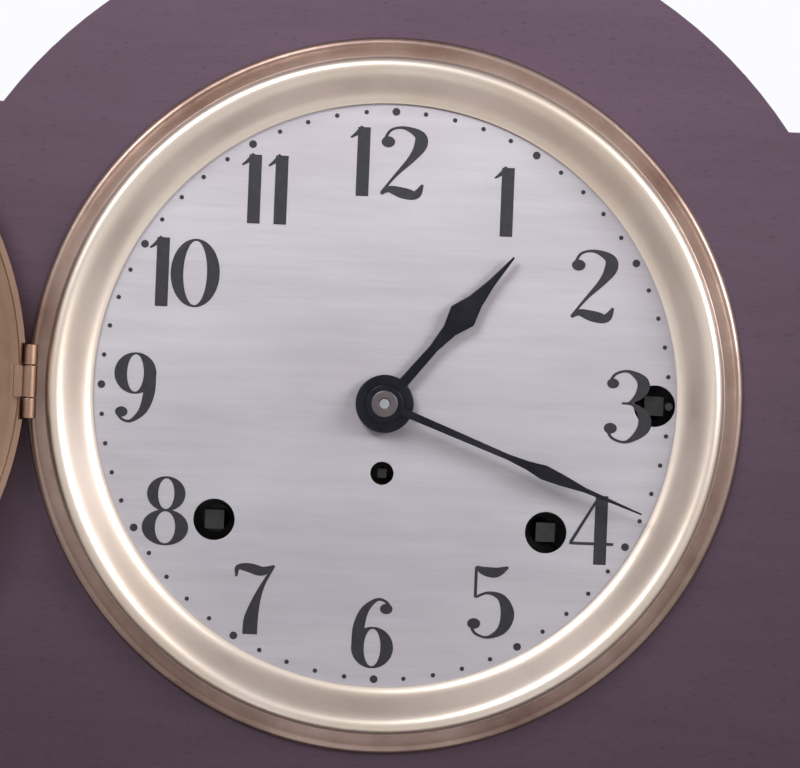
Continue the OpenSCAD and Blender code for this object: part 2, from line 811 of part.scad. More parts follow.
module centre_wheel() at(centre_p) {
    wheel_work(centre_teeth, centre_m, centre_wheel_d, 0, centre_pinion, second_m,
        second_wheel_d - 1, wheel_t + 2,
        mesh_turn(0, second_teeth, bearing(second_p, centre_p), centre_pinion), thick = 1.2);
    color(steel) {
        shaft(centre_arbor_r, plate_y, rear_y - 0.15);
        shaft(pivot_r, rear_y - 1, behind_y - 0.2);
        shaft(centre_tip_r, hand_nut_y, plate_y + 1);
    }
}

module third_wheel() at(third_p) {
    wheel_work(third_teeth, third_m, third_wheel_d, 0, third_pinion, centre_m, centre_wheel_d - 0.8,
        2.8, mesh_turn(0, centre_teeth, bearing(centre_p, third_p), third_pinion), thick = 1.2);
    arbor(0.85, fine_r);
}

escape_teeth = 36;
module escape_wheel() at(escape_p) {
    color(brass) slab(between_y + escape_d, 1.2) difference() {
        polygon([for (i = [0 : escape_teeth - 1]) for (s = [[0, 0], [0.22, 0], [0.62, -1.5]])
            polar(escape_r + s[1], (i + s[0]) * 360 / escape_teeth)]);
        crossed(escape_r - 3, 2.2, 4, 1.6);
    }
    color(steel) slab(between_y + third_wheel_d - 0.8, 2.8) pinion(escape_pinion, third_m,
        mesh_turn(0, third_teeth, bearing(third_p, escape_p), escape_pinion));
    arbor(0.8, fine_r);
}

/* Verge, crutch and pendulum */
pendulum_y = behind_y + pendulum_back;
rod_half = 1;
crutch_gap = 0.3;
crutch_l = 36;
verge_drop = pivot_up - escape_up;

module verge() at(verge_p) {
    lift = escape_r + 1.3;
    color(steel) {
        slab(between_y + escape_d - 0.6, 2.4) {
            difference() {
                translate([0, -verge_drop]) difference() {
                    circle(r = lift + 2);
                    circle(r = lift);
                }
                translate([-20, -verge_drop - 20]) square([40, 20 + lift * 0.62]);
            }
            circle(r = 2.2);
            translate([-1, -verge_drop + lift + 0.4]) square([2, verge_drop - lift]);
        }
        shaft(pivot_r, plate_y + 0.2, between_y + 1);
        shaft(thin_r - 0.02, between_y + 0.15, pendulum_y - 3);
        slab(pendulum_y - 4, 1.2) translate([-1.2, -crutch_l]) square([2.4, crutch_l]);
        for (side = [-1, 1]) slab(pendulum_y - 4, 5.4)
            translate([side * (rod_half + crutch_gap + 0.5) - 0.5, -crutch_l - 1]) square([1, 4]);
        slab(pendulum_y - 4, 1.2) translate([-2.3, -crutch_l - 1]) square([4.6, 4]);
    }
}

cock_half = 5;
slit_half = 0.9;
module suspension_cock() at(verge_p) {
    color(brass) difference() {
        translate([-cock_half, behind_y, 2]) cube([2 * cock_half, pendulum_back + 4, 7]);
        translate([-slit_half, pendulum_y - 3, 1]) cube([2 * slit_half, 8, 6]);
    }
}

bob_z = -pendulum_l;
nut_h = 3;
module pendulum_rod() at(verge_p) {
    color(steel) {
        translate([-0.15, pendulum_y - 2, -7]) cube([0.3, 4, 12]);
        translate([-2, pendulum_y - 2.2, -11]) cube([4, 4.4, 5]);
        translate([0, pendulum_y, bob_z - bob_r - nut_h - 3])
            cylinder(r = rod_half, h = pendulum_l + bob_r + nut_h - 6);
    }
}

module pendulum_bob() at(verge_p) {
    lens_r = (pow(bob_r, 2) + pow(bob_half_t, 2)) / (2 * bob_half_t);
    arc = [for (i = [0 : 8]) let (r = (bob_r - 0.5) * sin(i * 11.25))
        [r, sqrt(pow(lens_r, 2) - r * r) - lens_r + bob_half_t]];
    under = [for (i = [8 : -1 : 0]) [arc[i][0], -arc[i][1]]];
    color(brass) translate([0, 0, bob_z]) difference() {
        turned(pendulum_y) polygon(concat(arc, under));
        translate([0, pendulum_y, -bob_r - 1]) cylinder(r = rod_half + fit, h = 2 * bob_r + 2);
    }
}

module rating_nut() at(verge_p) {
    color(brass) translate([0, pendulum_y, bob_z - bob_r + 0.4 - nut_h]) difference() {
        cylinder(r = 4.5, h = nut_h);
        translate([0, 0, -1]) cylinder(r = rod_half + running_gap, h = nut_h + 2);
    }
}

/* Motion work and hands */
cannon_r = 2.2;
centre_tip_r = 1.2;
cannon_y = plate_y - 5.5;
hour_wheel_y = plate_y - 8.2;
hour_hand_y = dial_y - 2.6;
minute_hand_y = dial_y - 5.4;
hand_t = 1;
hand_nut_y = minute_hand_y - 2;

module cannon_pinion() at(centre_p) {
    color(brass) difference() {
        union() {
            slab(cannon_y, 3) pinion(cannon_teeth, cannon_m, 0);
            shaft(cannon_r, minute_hand_y, plate_y - 0.3);
        }
        shaft(centre_tip_r + running_gap, minute_hand_y - 1, plate_y);
    }
}

module minute_wheel() at(minute_p) {
    color(brass) difference() {
        union() {
            slab(cannon_y + 0.6, 1.4) wheel(minute_teeth, cannon_m,
                mesh_turn(0, cannon_teeth, bearing(centre_p, minute_p), minute_teeth));
            slab(hour_wheel_y - 0.4, cannon_y - hour_wheel_y + 1.1) pinion(minute_pinion, hour_m, 0);
        }
        shaft(minute_stud_r + running_gap, plate_y - 12, plate_y);
    }
}

module hour_wheel() at(centre_p) {
    color(brass) difference() {
        union() {
            slab(hour_wheel_y, 1.4) wheel(hour_teeth, hour_m,
                mesh_turn(0, minute_pinion, bearing(minute_p, centre_p), hour_teeth));
            shaft(hour_pipe_r, hour_hand_y, hour_wheel_y + 1);
        }
        shaft(cannon_r + running_gap, hour_hand_y - 1, plate_y);
    }
}

// Half widths of a hand at shares of its length, from the hub to the tip
hour_swell = [[0.1, 1.3], [0.38, 1.1], [0.5, 1.8], [0.6, 3.6], [0.7, 2], [0.82, 1], [1, 0.25]];
minute_swell = [[0.05, 1], [0.48, 0.7], [0.56, 1.1], [0.62, 1.8], [0.69, 1.4], [0.78, 0.6], [1, 0.2]];

module hand_shape(length, swell, hub, angle) {
    right = [for (s = swell) [s[1], s[0] * length]];
    left = [for (i = [len(swell) - 1 : -1 : 0]) [-swell[i][1], swell[i][0] * length]];
    circle(r = hub);
    rotate(-angle) polygon(concat(right, left));
}

minute_angle = minutes * 6;
hour_angle = 30 + minutes / 2;
hour_hub_r = 7;
minute_hub_r = 4.5;

module hour_hand() at(centre_p) {
    color(blued) difference() {
        slab(hour_hand_y, hand_t) hand_shape(hour_hand_l, hour_swell, hour_hub_r, hour_angle);
        shaft(hour_pipe_r, hour_hand_y - 1, dial_y);
    }
}

module minute_hand() at(centre_p) {
    color(blued) difference() {
        slab(minute_hand_y, hand_t)
            hand_shape(minute_hand_l, minute_swell, minute_hub_r, minute_angle);
        shaft(cannon_r, minute_hand_y - 1, dial_y);
    }
}

module hand_nut() at(centre_p) {
    color(brass) difference() {
        shaft(3.2, hand_nut_y, minute_hand_y);
        shaft(centre_tip_r + running_gap, hand_nut_y - 1, minute_hand_y + 1);
    }
}

module regulator_arbor() at(regulator_p) {
    color(steel) {
        slab(square_y, 4) square(2.2, center = true);
        shaft(thin_r, square_y + 3, between_y + 1.5);
        shaft(3, plate_y - 1.6, plate_y - 0.2);
    }
}

/* Strike and chime trains */
fly_d = 6;
chime_wheel_d = 8;
module strike_second_wheel() at(strike_second_p) {
    wheel_work(strike_teeth, second_m, second_wheel_d, 0, second_pinion, great_m, great_d - 0.8,
        great_t + 1.6, mesh_turn(0, great_teeth, bearing(strike_p, strike_second_p), second_pinion));
    arbor();
    color(steel) for (i = [0 : 7]) rotate([0, i * 45, 0])
        translate([second_m * strike_teeth / 2 - 1.55, 0, 0])
            shaft(0.6, between_y + second_wheel_d + 1, between_y + second_wheel_d + 4);
}

fly_w = 22;
fly_l = 10;
fly_t = 0.8;
module strike_fly() at(fly_p) {
    color(steel) {
        slab(between_y + second_wheel_d - 1, wheel_t + 2) pinion(fly_pinion, second_m,
            mesh_turn(0, strike_teeth, bearing(strike_second_p, fly_p), fly_pinion));
        slab(between_y + fly_d, fly_l) square([fly_w, fly_t], center = true);
        shaft(2.2, between_y + fly_d - 1, between_y + fly_d + fly_l + 1);
    }
    arbor(1);
}

module chime_second_wheel() at(chime_second_p) {
    wheel_work(strike_teeth, second_m, chime_wheel_d, 0, second_pinion, great_m,
        plate_gap - 2 - great_t - 0.8, great_t + 1.6,
        mesh_turn(0, great_teeth, bearing(chime_p, chime_second_p), second_pinion));
    arbor();
}

rods = 5;
rod_room = 12.5;
first_rod_y = behind_y + pendulum_back + bob_half_t + rod_room;
frame_t = 2;
frame_y = inner_back_y - frame_room;
// The hammer of the last rod works just in front of the frame
last_rod_room = 4;
rod_step = (frame_y - last_rod_room - first_rod_y) / (rods - 1);
function rod_y(i) = first_rod_y + i * rod_step;
drum_r = 8;
drum_pin = 1.5;

module chime_drum() at(drum_p) {
    color(steel) {
        slab(between_y + chime_wheel_d - 1, wheel_t + 2) pinion(drum_pinion, second_m,
            mesh_turn(0, strike_teeth, bearing(chime_second_p, drum_p), drum_pinion));
        shaft(pivot_r, plate_y + 0.2, between_y + 1);
        shaft(thin_r, between_y + 0.15, frame_y - 0.15);
        shaft(pivot_r, frame_y - 1, frame_y + frame_t - 0.2);
    }
    color(brass) {
        shaft(drum_r, rod_y(0) - rod_step / 2, rod_y(3) + rod_step / 2);
        for (i = [0 : 3]) for (j = [0 : 4]) translate([0, rod_y(i), 0])
            rotate([0, j * 72 + i * 18, 0]) translate([drum_r - 0.5, 0, 0])
                rotate([0, 90, 0]) cylinder(r = 0.6, h = drum_pin + 0.5);
    }
}

frame_foot = chime_axis[1] - 8;
module hammer_frame() {
    color(brass) difference() {
        slab(frame_y, frame_t) translate([-post_x - post_edge, dial_z + frame_foot])
            square([2 * (post_x + post_edge), post_z + post_edge - frame_foot]);
        at(drum_p) shaft(pivot_r + running_gap, frame_y - 1, frame_y + 3);
        for (p = [chime_axis, strike_axis]) at(p)
            shaft(hammer_arbor_r + running_gap, frame_y - 1, frame_y + 3);
        for (p = post_points) at(p) shaft(stud_r + fit, frame_y - 1, frame_y + 3);
    }
    color(steel) at(chime_axis) shaft(hammer_arbor_r, rear_y + 0.1, frame_y + frame_t);
}

// A straight bar in the front view from a to b
module bar(a, b, w) translate(a) rotate(bearing(a, b)) translate([0, -w / 2]) square([norm(b - a), w]);

head_r = rod_step / 2 - 1;
head_h = 9;
head_x = 8;
hub_r = 4;
hub_half_l = min(rod_step / 3, last_rod_room - 1);
// A hammer seen from the front, its hub on the axis and its head above the rod
module hammer(axis, side, y, tail) {
    head = [side * head_x, rod_z + rod_r + hammer_gap + head_h / 2 - dial_z];
    color(brass) translate([0, y, 0]) {
        difference() {
            union() {
                at(axis) shaft(hub_r, -hub_half_l, hub_half_l);
                at([0, 0]) slab(-1, 2) {
                    bar(axis, head, 2.4);
                    if (tail > 0) bar(axis, axis + polar(tail, bearing(axis, drum_p)), 2);
                }
                at(head) translate([0, 0, -head_h / 2]) cylinder(r = head_r, h = head_h);
            }
            at(axis) shaft(hammer_arbor_r + running_gap, -hub_half_l - 1, hub_half_l + 1);
        }
    }
}

tail_l = norm(drum_p - chime_axis) - drum_r - drum_pin - 0.8;
module chime_hammer_1() hammer(chime_axis, 1, rod_y(0), tail_l);
module chime_hammer_2() hammer(chime_axis, 1, rod_y(1), tail_l);
module chime_hammer_3() hammer(chime_axis, 1, rod_y(2), tail_l);
module chime_hammer_4() hammer(chime_axis, 1, rod_y(3), tail_l);

// The strike hammer is pinned to its own arbor, which turns in the plates and the frame
module strike_hammer() {
    difference() {
        hammer(strike_axis, -1, rod_y(4), 0);
        at(strike_axis) shaft(hammer_arbor_r + 0.2, rod_y(4) - 4, rod_y(4) + 4);
    }
    color(steel) at(strike_axis) {
        shaft(hammer_arbor_r + 0.2, between_y + 0.15, rear_y - 0.15);
        shaft(pivot_r, plate_y + 0.2, between_y + 1);
        shaft(hammer_arbor_r, rear_y - 1, frame_y + frame_t);
        shaft(hammer_arbor_r + 0.2, rod_y(4) - 4, rod_y(4) + 3);
    }
}

/* Chime rods */
block_w = 16;
block_rise = 6;
block_margin = 7;
rod_seat = 10;
block_x = -(side_x(rod_z + block_rise) - wall_t - block_room - block_w);
module rod_block() {
    color("#3c3c40") difference() {
        translate([block_x - block_w, rod_y(0) - block_margin, base_top])
            cube([block_w, rod_step * (rods - 1) + 2 * block_margin, rod_z + block_rise - base_top]);
        for (i = [0 : rods - 1]) translate([block_x - rod_seat, rod_y(i), rod_z])
            rotate([0, 90, 0]) cylinder(r = rod_r + fit, h = 2 * rod_seat);
    }
}

module chime_rods() {
    color(steel) for (i = [0 : rods - 1]) translate([block_x - rod_seat, rod_y(i), rod_z])
        rotate([0, 90, 0]) cylinder(r = rod_r, h = rod_l - 6 * i);
}

base_board();
base_moulding();
case_front();
case_side_left();
case_side_right();
case_top();
back_panel();
back_hinges();
dial_ring();
dial_plate();
bezel_hinge();
front_plate();
back_plate();
pillars();
movement_straps();
fasteners();
rod_block();
chime_rods();
suspension_cock();
hammer_frame();
bezel_ring();
bezel_glass();
glass_retainer();
back_door();
back_door_leaves();
back_latch();
cannon_pinion();
minute_hand();
hand_nut();
minute_wheel();
hour_wheel();
hour_hand();
time_barrel();
time_mainspring();
time_arbor();
time_second_wheel();
centre_wheel();
third_wheel();
escape_wheel();
verge();
pendulum_rod();
pendulum_bob();
rating_nut();
strike_barrel();
strike_mainspring();
strike_arbor();
strike_second_wheel();
strike_fly();
strike_hammer();
chime_barrel();
chime_mainspring();
chime_arbor();
chime_second_wheel();
chime_drum();
chime_hammer_1();
chime_hammer_2();
chime_hammer_3();
chime_hammer_4();
regulator_arbor();
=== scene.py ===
import json
import math

import bpy
from mathutils import Matrix, Vector

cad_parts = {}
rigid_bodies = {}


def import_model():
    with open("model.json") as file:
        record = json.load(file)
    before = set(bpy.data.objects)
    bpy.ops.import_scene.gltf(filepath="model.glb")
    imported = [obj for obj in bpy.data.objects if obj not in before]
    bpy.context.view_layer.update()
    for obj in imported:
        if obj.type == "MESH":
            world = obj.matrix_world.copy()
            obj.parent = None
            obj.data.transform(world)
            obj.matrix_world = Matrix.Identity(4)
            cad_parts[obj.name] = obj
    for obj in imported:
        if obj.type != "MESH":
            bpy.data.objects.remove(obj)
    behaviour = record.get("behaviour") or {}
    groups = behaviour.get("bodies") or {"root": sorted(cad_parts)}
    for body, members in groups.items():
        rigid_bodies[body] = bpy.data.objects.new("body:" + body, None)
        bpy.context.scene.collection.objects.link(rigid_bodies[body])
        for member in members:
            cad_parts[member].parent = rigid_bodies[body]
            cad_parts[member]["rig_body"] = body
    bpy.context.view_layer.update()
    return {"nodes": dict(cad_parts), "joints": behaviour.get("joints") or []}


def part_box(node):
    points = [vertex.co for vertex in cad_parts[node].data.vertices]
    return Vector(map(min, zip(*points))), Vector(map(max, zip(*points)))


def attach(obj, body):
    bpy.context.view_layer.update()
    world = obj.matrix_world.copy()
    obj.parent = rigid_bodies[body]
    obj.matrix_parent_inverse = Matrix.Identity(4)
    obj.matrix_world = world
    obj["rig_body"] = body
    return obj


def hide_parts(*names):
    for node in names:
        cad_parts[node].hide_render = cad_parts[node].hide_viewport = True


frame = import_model()
MM = 0.001


# Base board: a solid moulded plinth of dark stained wood, planed flat below, rounded along its top edge
# and French polished. The case stands on it and is screwed down from underneath.
def add_node(tree, kind, inputs=None, **settings):
    """A shader node whose inputs are linked where a socket is given, and set where a value is."""
    made = tree.nodes.new("ShaderNode" + kind)
    for key, value in settings.items():
        setattr(made, key, value)
    for key, value in (inputs or {}).items():
        if isinstance(value, bpy.types.NodeSocket):
            tree.links.new(value, made.inputs[key])
        else:
            made.inputs[key].default_value = value
    return made


def new_finish(name, **plain):
    """A material with its Principled shader, whose plain values are set on the shader's own sockets."""
    finish = bpy.data.materials.new(name)
    finish.use_nodes = True
    tree = finish.node_tree
    shader = tree.nodes["Principled BSDF"]
    for key, value in plain.items():
        shader.inputs[key.replace("_", " ").title().replace("Ior", "IOR")].default_value = value
    return finish, tree, shader


def new_group(name, inputs, outputs):
    """A node group with its two ends, whose sockets are values (v) or places (p)."""
    tree = bpy.data.node_groups.new(name, "ShaderNodeTree")
    kinds = {"v": "NodeSocketFloat", "p": "NodeSocketVector"}
    for label, kind in inputs:
        tree.interface.new_socket(name=label, in_out="INPUT", socket_type=kinds[kind])
    for label, kind in outputs:
        tree.interface.new_socket(name=label, in_out="OUTPUT", socket_type=kinds[kind])
    return tree, tree.nodes.new("NodeGroupInput"), tree.nodes.new("NodeGroupOutput")


def stretched(tree, stretch=(1.0, 1.0, 1.0)):
    """The piece's own coordinates, squeezed or drawn out along each axis."""
    place = add_node(tree, "TexCoord").outputs["Object"]
    return add_node(tree, "Mapping", {"Vector": place, "Scale": stretch}).outputs["Vector"]


# The figure that straight-grained mahogany shows: broad ribbons, fine streaks and short dark pores
figure, figure_in, figure_out = new_group("mahogany_figure", [("Along", "p")],
                                          [("Ribbon", "v"), ("Pores", "v")])
along = figure_in.outputs["Along"]
broad = add_node(figure, "TexNoise", {"Vector": along, "Scale": 9.0, "Detail": 4.0, "Distortion": 0.6})
streak = add_node(figure, "TexNoise", {"Vector": along, "Scale": 70.0, "Detail": 3.0})
ribbon = add_node(figure, "Math", {0: broad.outputs["Fac"], 1: 0.65}, operation="MULTIPLY")
ribbon = add_node(figure, "Math", {0: streak.outputs["Fac"], 1: 0.35, 2: ribbon.outputs[0]},
                  operation="MULTIPLY_ADD")
pore = add_node(figure, "TexNoise", {"Vector": along, "Scale": 420.0, "Detail": 1.0})
pore = add_node(figure, "MapRange", {"Value": pore.outputs["Fac"], "From Min": 0.62, "From Max": 0.74})
figure.links.new(ribbon.outputs[0], figure_out.inputs["Ribbon"])
figure.links.new(pore.outputs["Result"], figure_out.inputs["Pores"])


def two_tones(tree, mask, first, second):
    """A colour that goes from the first tone to the second as the mask goes from 0 to 1."""
    mix = add_node(tree, "Mix", {"Factor": mask, "A": first, "B": second}, data_type="RGBA")
    return mix.outputs["Result"]


def finish_surface(tree, shader, colour, rough, bump):
    tree.links.new(colour, shader.inputs["Base Color"])
    tree.links.new(rough.outputs["Result"], shader.inputs["Roughness"])
    tree.links.new(bump.outputs["Normal"], shader.inputs["Normal"])


def mahogany(name, dark, light, grain, gloss):
    """Polished wood whose grain runs along the axis with the smallest number in grain."""
    finish, tree, shader = new_finish(name, coat_weight=gloss, coat_roughness=0.2, specular_ior_level=0.25)
    wood = add_node(tree, "Group", {"Along": stretched(tree, grain)}, node_tree=figure)
    colour = two_tones(tree, wood.outputs["Ribbon"], dark, light)
    pore_strength, pore_shade = 0.35, 0.35
    pored = add_node(tree, "Math", {0: wood.outputs["Pores"], 1: pore_strength}, operation="MULTIPLY")
    in_pore = tuple(c * pore_shade for c in dark[:3]) + (1.0,)
    colour = two_tones(tree, pored.outputs[0], colour, in_pore)
    rough = add_node(tree, "MapRange", {"Value": wood.outputs["Ribbon"], "To Min": 0.42, "To Max": 0.3})
    bump = add_node(tree, "Bump", {"Height": wood.outputs["Pores"], "Strength": 0.08, "Distance": 0.2 * MM},
                    invert=True)
    finish_surface(tree, shader, colour, rough, bump)
    return finish


def dress(piece, finish, body, replaced=None):
    """Gives a finished piece its material and the body it rides on, and hides the CAD node it stands for."""
    piece.data.materials.clear()
    piece.data.materials.append(finish)
    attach(piece, body)
    if replaced:
        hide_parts(replaced)


weld_distance = 0.02 * MM
flat_angle = math.radians(0.4)
flat_face_weight = 80


def shaped_copy(node, finish, bevel=0.0, angle=35.0):
    """The CAD solid with its loose triangles joined, its edges eased and its curves shaded smooth."""
    bpy.ops.object.select_all(action="DESELECT")
    source = frame["nodes"][node]
    piece = bpy.data.objects.new(node + "_made", source.data.copy())
    bpy.context.collection.objects.link(piece)
    piece.select_set(True)
    bpy.context.view_layer.objects.active = piece
    bpy.ops.object.mode_set(mode="EDIT")
    bpy.ops.mesh.select_all(action="SELECT")
    bpy.ops.mesh.remove_doubles(threshold=weld_distance)
    bpy.ops.mesh.dissolve_limited(angle_limit=flat_angle)
    bpy.ops.object.mode_set(mode="OBJECT")
    if bevel:
        ease = piece.modifiers.new("eased", "BEVEL")
        ease.width = bevel
        ease.segments = 3
        ease.limit_method = "ANGLE"
        ease.angle_limit = math.radians(angle)
        ease.use_clamp_overlap = True
        bpy.ops.object.modifier_apply(modifier=ease.name)
    bpy.ops.object.shade_smooth_by_angle(angle=math.radians(angle))
    flatten = piece.modifiers.new("flat_faces", "WEIGHTED_NORMAL")
    flatten.weight = flat_face_weight
    flatten.keep_sharp = True
    bpy.ops.object.modifier_apply(modifier=flatten.name)
    dress(piece, finish, source["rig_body"], node)
    return piece


dark_mahogany = mahogany("dark_mahogany", (0.045, 0.028, 0.032, 1.0), (0.085, 0.052, 0.06, 1.0),
                         grain=(1.0, 9.0, 9.0), gloss=0.5)
shaped_copy("base_board", dark_mahogany, bevel=0.6 * MM)

# Cove moulding: three lengths of the same dark wood, run with a hollow, mitred at the front corners and
# glued and pinned round the foot of the case.
shaped_copy("base_moulding", dark_mahogany, bevel=0.3 * MM)

# Case front: a thick board veneered in dark mahogany with the grain across, sawn to the round top and
# swept shoulders, its edge rubbed round, and French polished to a soft purple brown.
front_veneer = mahogany("front_veneer", (0.074, 0.044, 0.068, 1.0), (0.128, 0.08, 0.118, 1.0),
                        grain=(1.0, 7.0, 7.0), gloss=0.15)
shaped_copy("case_front", front_veneer, bevel=2.0 * MM, angle=50.0)

# Case sides: two boards that swell outwards towards the foot, veneered with the grain upright.
side_tones = (0.07, 0.04, 0.056, 1.0), (0.12, 0.07, 0.096, 1.0)
side_veneer = mahogany("side_veneer", *side_tones, grain=(8.0, 8.0, 1.0), gloss=0.25)
shaped_copy("case_side_left", side_veneer, bevel=0.3 * MM)
shaped_copy("case_side_right", side_veneer, bevel=0.3 * MM)

# Case top: veneer bent over the arch, with the grain from front to back, let in between the shoulders.
top_veneer = mahogany("top_veneer", *side_tones, grain=(8.0, 1.0, 8.0), gloss=0.25)
shaped_copy("case_top", top_veneer, bevel=0.3 * MM)

# Brass surround: a ring spun from sheet brass, with an ogee slope, a polished bead and a thin outer lip,
# and pinned to the front board. It has toned down with age under its lacquer. The lip's brass is coloured much
# darker, as painted shade.
tarnish, tarnish_in, tarnish_out = new_group("aged_lacquer", [("Place", "p"), ("Size", "v")],
                                             [("Toned", "v"), ("Scratches", "v")])
place = tarnish_in.outputs["Place"]
cloud = add_node(tarnish, "TexNoise", {"Vector": place, "Scale": tarnish_in.outputs["Size"], "Detail": 5.0,
                                       "Roughness": 0.6})
cloud = add_node(tarnish, "MapRange", {"Value": cloud.outputs["Fac"], "From Min": 0.35, "From Max": 0.7})
fine = add_node(tarnish, "TexNoise", {"Vector": place, "Scale": 900.0, "Detail": 2.0})
tarnish.links.new(cloud.outputs["Result"], tarnish_out.inputs["Toned"])
tarnish.links.new(fine.outputs["Fac"], tarnish_out.inputs["Scratches"])


def metal(name, clean, toned, rough, worn_rough, size, stretch=(1.0, 1.0, 1.0), depth=0.05, metallic=1.0):
    """Bare or lacquered metal: two tones of age, and fine marks in its gloss and surface."""
    finish, tree, shader = new_finish(name, metallic=metallic)
    aged = add_node(tree, "Group", {"Place": stretched(tree, stretch), "Size": size}, node_tree=tarnish)
    age = aged.outputs["Toned"]
    sheen = add_node(tree, "MapRange", {"Value": age, "To Min": rough, "To Max": worn_rough})
    bump = add_node(tree, "Bump", {"Height": aged.outputs["Scratches"], "Strength": depth,
                                   "Distance": 0.1 * MM})
    finish_surface(tree, shader, two_tones(tree, age, clean, toned), sheen, bump)
    return finish


spin_steps = 180
spun_weld = 0.005 * MM


def spun_ring(name, profile, finish, body, replaced, closed=True, swing=None):
    """A turned ring: its half section, as (radius, height to the front), is spun about the dial's axis."""
    bpy.ops.object.select_all(action="DESELECT")
    outline = bpy.data.curves.new(name, "CURVE")
    outline.dimensions = "3D"
    line = outline.splines.new("POLY")
    line.points.add(len(profile) - 1)
    for point, (radius, height) in zip(line.points, profile):
        point.co = (ring_centre.x + radius * MM, ring_centre.y - height * MM, ring_centre.z, 1.0)
    line.use_cyclic_u = closed
    piece = bpy.data.objects.new(name, outline)
    bpy.context.collection.objects.link(piece)
    piece.select_set(True)
    bpy.context.view_layer.objects.active = piece
    bpy.ops.object.convert(target="MESH")
    piece = bpy.context.object
    bpy.ops.object.mode_set(mode="EDIT")
    bpy.ops.mesh.select_all(action="SELECT")
    bpy.ops.mesh.spin(steps=spin_steps, angle=2 * math.pi, center=ring_centre, axis=(0.0, 1.0, 0.0))
    bpy.ops.mesh.select_all(action="SELECT")
    bpy.ops.mesh.remove_doubles(threshold=spun_weld)
    bpy.ops.mesh.normals_make_consistent(inside=False)
    bpy.ops.object.mode_set(mode="OBJECT")
    bpy.ops.object.shade_smooth_by_angle(angle=math.radians(40))
    if swing:
        piece.matrix_world = swing
        bpy.ops.object.transform_apply(location=True, rotation=True, scale=True)
    dress(piece, finish, body, replaced)
    return piece


ring_low, ring_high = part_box("dial_ring")
wood_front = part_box("case_front")[0][1]
ring_centre = Vector(((ring_low[0] + ring_high[0]) / 2, wood_front, (ring_low[2] + ring_high[2]) / 2))
ring_radius = (ring_high[0] - ring_low[0]) / 2 / MM
bead_height = (wood_front - ring_low[1]) / MM
surround_brass = metal("surround_brass", (0.8, 0.7, 0.62, 1.0), (0.66, 0.55, 0.46, 1.0), 0.36, 0.46, size=22.0)
# Painted shade: the outer lip's brass is coloured much darker than the surround, standing in for the shade on it.
painted_shade_lip = metal("painted_shade_lip", (0.42, 0.31, 0.27, 1.0), (0.17, 0.105, 0.085, 1.0), 0.34, 0.48, size=30.0)
sight_radius, crest_radius, bead_out = 70.35, 78.9, 81.2
sight_height, bead_drop, lip_valley = -0.3, 3.2, 1.15
seat_radius, seat_height = 73.4, -0.9
ogee = []
for step in range(17):
    t = step / 16
    rise = (bead_height - sight_height) * t * t * (3 - 2 * t)
    ogee.append((sight_radius + (crest_radius - sight_radius) * t, sight_height + rise))
roll_over = []
for degrees in range(10, 91, 10):
    turn = math.radians(degrees)
    roll_over.append((crest_radius + (bead_out - crest_radius) * math.sin(turn),
                      bead_height - bead_drop * (1 - math.cos(turn))))
lip = [(bead_out + 0.05, 1.6), (bead_out + 0.5, lip_valley), (83.8, lip_valley), (84.2, 1.45), (84.7, 1.6),
       (85.2, 1.5), (85.7, lip_valley), (86.0, 0.7), (ring_radius, 0.2), (ring_radius, 0.0)]
seat = [(seat_radius, 0.0), (seat_radius, seat_height), (sight_radius, seat_height)]
ring = spun_ring("brass_surround", seat[-1:] + ogee + roll_over + lip + seat[:-1], surround_brass, "case",
                 "dial_ring")
# Faces beyond the outside of the bead take the painted-shade lip colour.
ring.data.materials.append(painted_shade_lip)
lip_from = (bead_out + 0.3) * MM
for face in ring.data.polygons:
    if math.hypot(face.center.x - ring_centre.x, face.center.z - ring_centre.z) > lip_from:
        face.material_index = 1

# Dial plate: thin brass sheet, brushed straight across and silvered, with three feet soldered behind it that
# stand on the movement. It has clouded a little with age.
silvered_dial, tree, shader = new_finish("silvered_dial", metallic=0.25, specular_ior_level=0.4)
brushed = stretched(tree, (0.06, 1.0, 1.0))
strokes = add_node(tree, "TexNoise", {"Vector": brushed, "Scale": 1500.0, "Detail": 4.0, "Roughness": 0.7})
bands = add_node(tree, "TexNoise", {"Vector": brushed, "Scale": 260.0, "Detail": 2.0})
clouds = add_node(tree, "TexNoise", {"Vector": stretched(tree, (0.5, 1.0, 1.0)), "Scale": 26.0, "Detail": 3.0})
patina = add_node(tree, "MapRange", {"Value": clouds.outputs["Fac"], "From Min": 0.3, "From Max": 0.75})
base = two_tones(tree, patina.outputs["Result"], (0.57, 0.55, 0.595, 1.0), (0.48, 0.435, 0.485, 1.0))
lines = add_node(tree, "Math", {0: strokes.outputs["Fac"], 1: bands.outputs["Fac"]}, operation="ADD")
shade = add_node(tree, "MapRange", {"Value": lines.outputs[0], "From Min": 0.6, "From Max": 1.4,
                                    "To Min": 0.9, "To Max": 1.08})
tone = add_node(tree, "VectorMath", {0: base, "Scale": shade.outputs["Result"]}, operation="SCALE")
gloss = add_node(tree, "MapRange", {"Value": strokes.outputs["Fac"], "To Min": 0.38, "To Max": 0.55})
bump = add_node(tree, "Bump", {"Height": strokes.outputs["Fac"], "Strength": 0.15, "Distance": 0.05 * MM})
finish_surface(tree, shader, tone.outputs["Vector"], gloss, bump)
shaped_copy("dial_plate", silvered_dial, bevel=0.12 * MM)

# Chapter: tall black numerals with heavy stems and hair lines, and a track of minute dots, all printed on the
# silvered face in a thin coat of black lacquer. Lengths here are in millimetres from the dial's middle.
printed_black, tree, shader = new_finish("printed_black", roughness=0.5, specular_ior_level=0.3)
thin = add_node(tree, "TexNoise", {"Vector": stretched(tree), "Scale": 700.0, "Detail": 3.0})
ink = two_tones(tree, thin.outputs["Fac"], (0.018, 0.018, 0.022, 1.0), (0.045, 0.043, 0.05, 1.0))
tree.links.new(ink, shader.inputs["Base Color"])
heavy_line, hair_line, least_line = 2.5, 0.5, 0.2
half_height = 8.3
numeral_widening = 1.22


